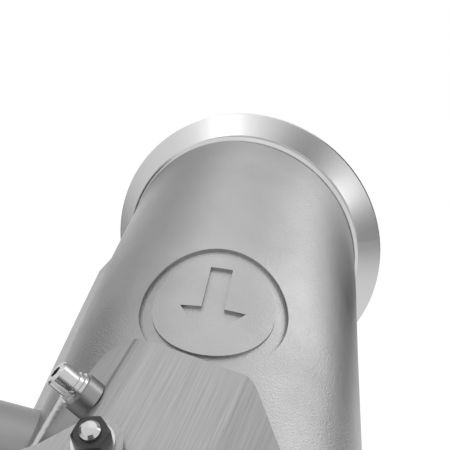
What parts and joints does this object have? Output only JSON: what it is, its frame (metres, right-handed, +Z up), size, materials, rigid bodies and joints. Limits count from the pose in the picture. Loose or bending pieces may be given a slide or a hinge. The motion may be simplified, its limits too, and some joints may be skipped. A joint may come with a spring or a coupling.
{
  "type": "turbo downpipe",
  "caption": "Turbo downpipe: cast V-band inlet with oval barrel, saddle bracket and stay, catalyst, flex joint and V-band outlet.",
  "frame": {"origin": "centre of the turbo flange's sealing face, on the flange's axis", "axes": "+Y along the flange's axis into the turbo, +Z up, the pipe leaves towards -Y and down in the YZ plane"},
  "size_m": [0.1555, 0.5719, 0.5195],
  "materials": {
    "turned_stainless": "turned",
    "cast_stainless": "bead blasted",
    "weld_metal": "as welded",
    "brushed_sheet": "brushed",
    "fastener_steel": "bright",
    "dark_fastener": "black oxide",
    "tube_stainless": "satin",
    "fibre_mat": "matt",
    "ceramic_brick": "matt",
    "copper_washer": "satin",
    "wire_braid": "woven"
  },
  "bodies": {
    "downpipe": {"turbo_flange": "turned_stainless", "cast_inlet_body": "cast_stainless", "flange_weld": "weld_metal", "saddle_welds": "weld_metal", "can_weld_front": "weld_metal", "can_weld_rear": "weld_metal", "mid_weld": "weld_metal", "inlet_sensor_bung": "turned_stainless", "spare_sensor_bung": "turned_stainless", "screw_boss": "turned_stainless", "saddle_bracket": "brushed_sheet", "screw_flat_washer": "fastener_steel", "screw_lock_washer": "fastener_steel", "socket_screw": "fastener_steel", "stay_stud": "fastener_steel", "stay_washer": "fastener_steel", "spare_plug": "fastener_steel", "stay_nut": "dark_fastener", "catalyst_can": "tube_stainless", "outlet_cone": "tube_stainless", "mid_tube": "tube_stainless", "flex_inlet_cap": "tube_stainless", "flex_bellows": "tube_stainless", "flex_liner": "tube_stainless", "catalyst_mat": "fibre_mat", "catalyst_brick": "ceramic_brick", "plug_washer": "copper_washer", "flex_braid": "wire_braid"},
    "stay": {"support_stay": "brushed_sheet"},
    "outlet": {"flex_outlet_cap": "tube_stainless", "outlet_tube": "tube_stainless", "outlet_flange": "turned_stainless", "outlet_weld": "weld_metal", "hanger_rod": "tube_stainless"}
  },
  "joints": [
    {"name": "stay_swing", "type": "hinge", "parent": "downpipe", "child": "stay", "pos_m": [0.0002, -0.15167, -0.00396], "axis": [0.2787, -0.4505, 0.8482], "range_deg": [-20, 20]},
    {"name": "flex_bend", "type": "hinge", "parent": "downpipe", "child": "outlet", "pos_m": [0, -0.37051, -0.30119], "axis": [1, 0, 0], "range_deg": [-4, 4], "stiffness_Nm_per_rad": 400, "deforming": ["flex_braid", "flex_bellows", "flex_liner"]}
  ]
}
